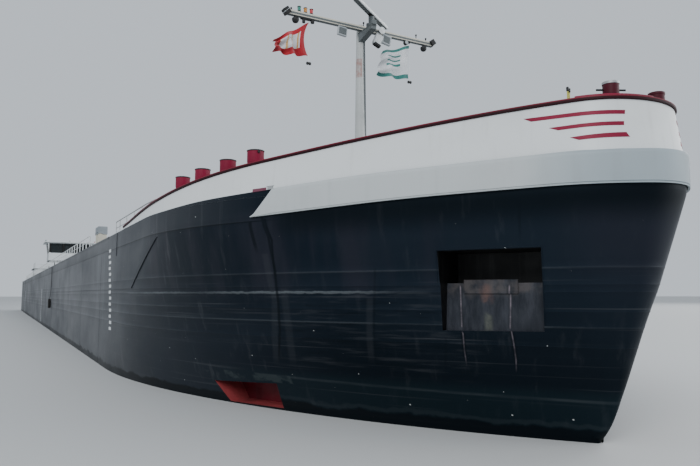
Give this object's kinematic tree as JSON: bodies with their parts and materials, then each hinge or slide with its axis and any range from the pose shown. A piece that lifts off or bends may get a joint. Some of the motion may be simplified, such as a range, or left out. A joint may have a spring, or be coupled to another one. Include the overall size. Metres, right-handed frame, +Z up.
{
  "type": "1:10 scale model of a river barge",
  "caption": "Scale model of a self-propelled river cargo barge: flared bow, long covered hold, folding mast, lifting wheelhouse and twin screws.",
  "frame": {"origin": "amidships on the centreline, on the flat bottom, which is the bottom centre of the bounding box", "axes": "+X forward to the bow, +Y to port, +Z up"},
  "size_m": [11, 1.183, 1.167],
  "materials": {
    "hull_navy": "worn semi-gloss hull paint, near black blue",
    "belt_grey": "satin grey paint",
    "white_paint": "satin white paint",
    "maroon_paint": "dark maroon paint with worn edges",
    "crimson_paint": "satin crimson paint, rope worn",
    "red_paint": "matt red anti-fouling paint",
    "cream_paint": "satin cream paint with rust marks",
    "deck_grey": "matt grey paint",
    "cover_aluminium": "weathered ribbed sheet",
    "machine_black": "black paint, greasy",
    "fender_rubber": "scuffed black rubber",
    "propeller_bronze": "dull bronze",
    "window_glass": "dark tinted glass",
    "red_flag_cloth": "light woven flag cloth",
    "green_flag_cloth": "light woven flag cloth",
    "engine_paint": "green engine paint"
  },
  "bodies": {
    "hull": {"fore_hull": "hull_navy", "hold_bottom": "red_paint", "side_tank_starboard": "hull_navy", "side_tank_port": "hull_navy", "aft_hull": "hull_navy", "main_engines": "engine_paint", "bow_bulwark": "white_paint", "bulwark_cap_rail": "maroon_paint", "bow_belt": "belt_grey", "side_bulwark": "hull_navy", "coaming_starboard": "cream_paint", "coaming_port": "cream_paint", "coaming_fore": "cream_paint", "coaming_aft": "cream_paint", "hatch_cover_1": "cover_aluminium", "hatch_cover_3": "cover_aluminium", "hatch_cover_5": "cover_aluminium", "hatch_cover_7": "cover_aluminium", "mast_step": "cream_paint", "fore_bollards_starboard": "crimson_paint", "fore_bollards_port": "crimson_paint", "bow_bollards": "crimson_paint", "side_bollards_starboard": "crimson_paint", "side_bollards_port": "crimson_paint", "stern_bollards_starboard": "crimson_paint", "stern_bollards_port": "crimson_paint", "windlass_frame": "deck_grey", "side_railing_starboard": "white_paint", "side_railing_port": "white_paint", "engine_casing": "white_paint", "lift_sleeve": "deck_grey", "crew_house_walls": "white_paint", "crew_house_glass": "window_glass", "crew_house_roof": "deck_grey", "side_fender_starboard": "fender_rubber", "side_fender_port": "fender_rubber", "deck_locker": "cream_paint"},
    "hatch_cover_2": {"hatch_cover_2": "cover_aluminium"},
    "hatch_cover_4": {"hatch_cover_4": "cover_aluminium"},
    "hatch_cover_6": {"hatch_cover_6": "cover_aluminium"},
    "hatch_cover_8": {"hatch_cover_8": "cover_aluminium"},
    "foremast": {"foremast": "cream_paint", "mast_yard": "cream_paint", "flag_starboard": "red_flag_cloth", "flag_port": "green_flag_cloth"},
    "radar_scanner": {"radar_scanner": "white_paint"},
    "windlass_drum": {"windlass_drum": "machine_black"},
    "propeller_starboard": {"propeller_starboard": "propeller_bronze"},
    "propeller_port": {"propeller_port": "propeller_bronze"},
    "rudder_starboard": {"rudder_starboard": "red_paint"},
    "rudder_port": {"rudder_port": "red_paint"},
    "wheelhouse": {"wheelhouse_floor": "deck_grey", "wheelhouse_walls": "white_paint", "wheelhouse_glass": "window_glass", "wheelhouse_roof": "white_paint"},
    "wheelhouse_door_starboard": {"wheelhouse_door_starboard": "deck_grey"},
    "wheelhouse_door_port": {"wheelhouse_door_port": "deck_grey"},
    "crew_house_door_starboard": {"crew_house_door_starboard": "deck_grey"},
    "crew_house_door_port": {"crew_house_door_port": "deck_grey"},
    "stern_boom": {"stern_boom": "white_paint"}
  },
  "joints": [
    {"name": "cover_2_roll", "type": "slide", "parent": "hull", "child": "hatch_cover_2", "axis": [1, 0, 0], "range_m": [0, 0.925]},
    {"name": "cover_4_roll", "type": "slide", "parent": "hull", "child": "hatch_cover_4", "axis": [1, 0, 0], "range_m": [0, 0.925]},
    {"name": "cover_6_roll", "type": "slide", "parent": "hull", "child": "hatch_cover_6", "axis": [1, 0, 0], "range_m": [0, 0.925]},
    {"name": "cover_8_roll", "type": "slide", "parent": "hull", "child": "hatch_cover_8", "axis": [1, 0, 0], "range_m": [0, 0.925]},
    {"name": "mast_fold", "type": "hinge", "parent": "hull", "child": "foremast", "pos_m": [4.534, 0, 0.7], "axis": [0, -1, 0], "range_deg": [0, 88]},
    {"name": "radar_turn", "type": "hinge", "parent": "foremast", "child": "radar_scanner", "pos_m": [4.6, 0, 1.154], "axis": [0, 0, 1], "continuous": true},
    {"name": "windlass_turn", "type": "hinge", "parent": "hull", "child": "windlass_drum", "pos_m": [5.04, 0, 0.608], "axis": [0, 1, 0], "continuous": true},
    {"name": "propeller_starboard_turn", "type": "hinge", "parent": "hull", "child": "propeller_starboard", "pos_m": [-5.05, -0.27, 0.092], "axis": [1, 0, 0], "continuous": true},
    {"name": "propeller_port_turn", "type": "hinge", "parent": "hull", "child": "propeller_port", "pos_m": [-5.05, 0.27, 0.092], "axis": [1, 0, 0], "continuous": true},
    {"name": "rudder_starboard_turn", "type": "hinge", "parent": "hull", "child": "rudder_starboard", "pos_m": [-5.18, -0.27, 0.1], "axis": [0, 0, 1], "range_deg": [-35, 35]},
    {"name": "rudder_port_turn", "type": "hinge", "parent": "hull", "child": "rudder_port", "pos_m": [-5.18, 0.27, 0.1], "axis": [0, 0, 1], "range_deg": [-35, 35]},
    {"name": "wheelhouse_lift", "type": "slide", "parent": "hull", "child": "wheelhouse", "axis": [0, 0, 1], "range_m": [-0.2, 0.15]},
    {"name": "wheelhouse_door_starboard_swing", "type": "hinge", "parent": "wheelhouse", "child": "wheelhouse_door_starboard", "pos_m": [-4.381, -0.28, 0.97], "axis": [0, 0, 1], "range_deg": [0, 90]},
    {"name": "wheelhouse_door_port_swing", "type": "hinge", "parent": "wheelhouse", "child": "wheelhouse_door_port", "pos_m": [-4.381, 0.28, 0.97], "axis": [0, 0, -1], "range_deg": [0, 90]},
    {"name": "crew_house_door_starboard_swing", "type": "hinge", "parent": "hull", "child": "crew_house_door_starboard", "pos_m": [-4.756, -0.43, 0.61], "axis": [0, 0, 1], "range_deg": [0, 90]},
    {"name": "crew_house_door_port_swing", "type": "hinge", "parent": "hull", "child": "crew_house_door_port", "pos_m": [-4.756, 0.43, 0.61], "axis": [0, 0, -1], "range_deg": [0, 90]},
    {"name": "boom_swing", "type": "hinge", "parent": "hull", "child": "stern_boom", "pos_m": [-5.43, -0.3, 0.66], "axis": [0, 0, 1], "range_deg": [0, 180]}
  ],
  "couplings": [
    {"joint": "rudder_port_turn", "follows": "rudder_starboard_turn", "ratio": 1}
  ]
}
